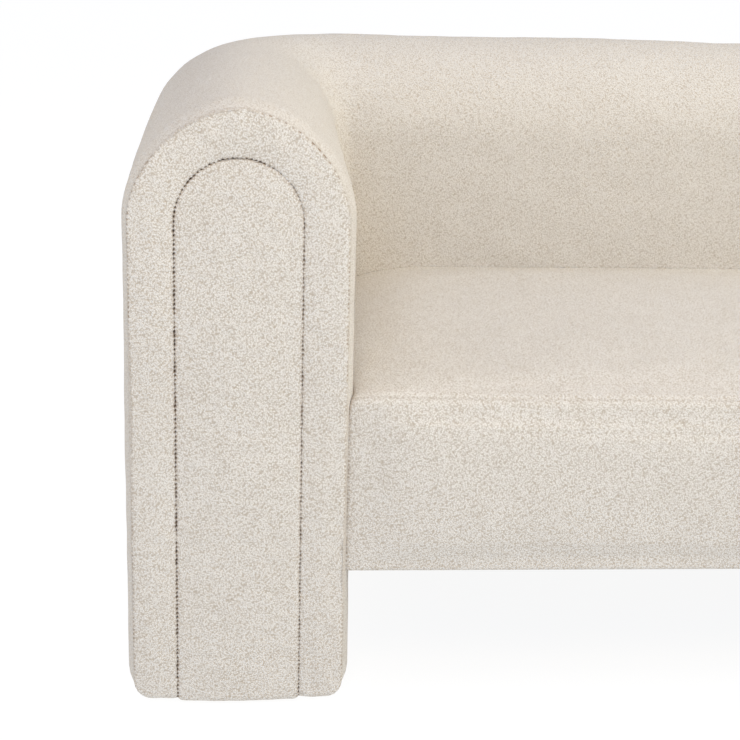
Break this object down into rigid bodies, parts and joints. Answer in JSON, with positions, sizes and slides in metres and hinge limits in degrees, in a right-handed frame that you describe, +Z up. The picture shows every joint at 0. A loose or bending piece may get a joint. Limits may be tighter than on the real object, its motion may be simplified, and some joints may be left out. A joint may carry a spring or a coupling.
{
  "type": "sofa",
  "caption": "Long upholstered sofa with slab arms and a back in one rounded arch-topped wall, a sprung bench seat between them and recessed turned support legs.",
  "frame": {"origin": "on the floor, under the middle of the sofa's bounding box", "axes": "+X along the sofa's length towards its left arm as a sitter sees it, +Y from the front towards the back, +Z up"},
  "size_m": [2.2, 0.92, 0.7638],
  "materials": {
    "boucle": "matte",
    "wadding": "matte",
    "foam": "matte",
    "felt": "matte",
    "dust_cloth": "matte",
    "spring_steel": "satin",
    "zinc_steel": "satin",
    "glide_plastic": "matte",
    "leg_wood": "satin",
    "frame_timber": "matte",
    "plywood": "matte",
    "hardboard": "matte"
  },
  "bodies": {
    "root": {"arm_base_board_left": "plywood", "arm_base_board_right": "plywood", "arm_bolt_blocks": "frame_timber", "arm_foam_left": "foam", "arm_foam_right": "foam", "arm_formers_left": "plywood", "arm_formers_right": "plywood", "arm_front_band_left": "boucle", "arm_front_band_right": "boucle", "arm_front_board_left": "plywood", "arm_front_board_right": "plywood", "arm_front_panel_board_left": "plywood", "arm_front_panel_board_right": "plywood", "arm_front_panel_left": "boucle", "arm_front_panel_right": "boucle", "arm_glides": "glide_plastic", "arm_inner_panel_left": "plywood", "arm_inner_panel_right": "plywood", "arm_outer_panel_left": "plywood", "arm_outer_panel_right": "plywood", "arm_top_shell_left": "hardboard", "arm_top_shell_right": "hardboard", "arm_wadding_left": "wadding", "arm_wadding_right": "wadding", "back_bottom_rail": "plywood", "back_dust_cover": "dust_cloth", "back_foam": "foam", "back_formers": "plywood", "back_inner_panel": "plywood", "back_outer_panel": "plywood", "back_top_rail": "frame_timber", "back_top_shell": "hardboard", "back_wadding": "wadding", "bolt_nuts": "zinc_steel", "centre_leg_bolts": "zinc_steel", "centre_leg_front": "leg_wood", "centre_leg_pads": "glide_plastic", "centre_leg_plates": "zinc_steel", "centre_leg_rear": "leg_wood", "corner_inner_skin_left": "plywood", "corner_inner_skin_right": "plywood", "corner_outer_skin_left": "plywood", "corner_outer_skin_right": "plywood", "frame_bolts": "zinc_steel", "outside_back_cover": "boucle", "seat_centre_rail": "frame_timber", "seat_corner_blocks": "frame_timber", "seat_cover": "boucle", "seat_dust_cover": "dust_cloth", "seat_foam": "foam", "seat_front_rail": "frame_timber", "seat_rear_rail": "frame_timber", "seat_side_rail_left": "frame_timber", "seat_side_rail_right": "frame_timber", "seat_spring_pad": "felt", "seat_wadding": "wadding", "sinuous_springs": "spring_steel", "spring_clips": "spring_steel", "spring_tie_wires": "spring_steel", "wall_cover": "boucle"}
  },
  "joints": []
}
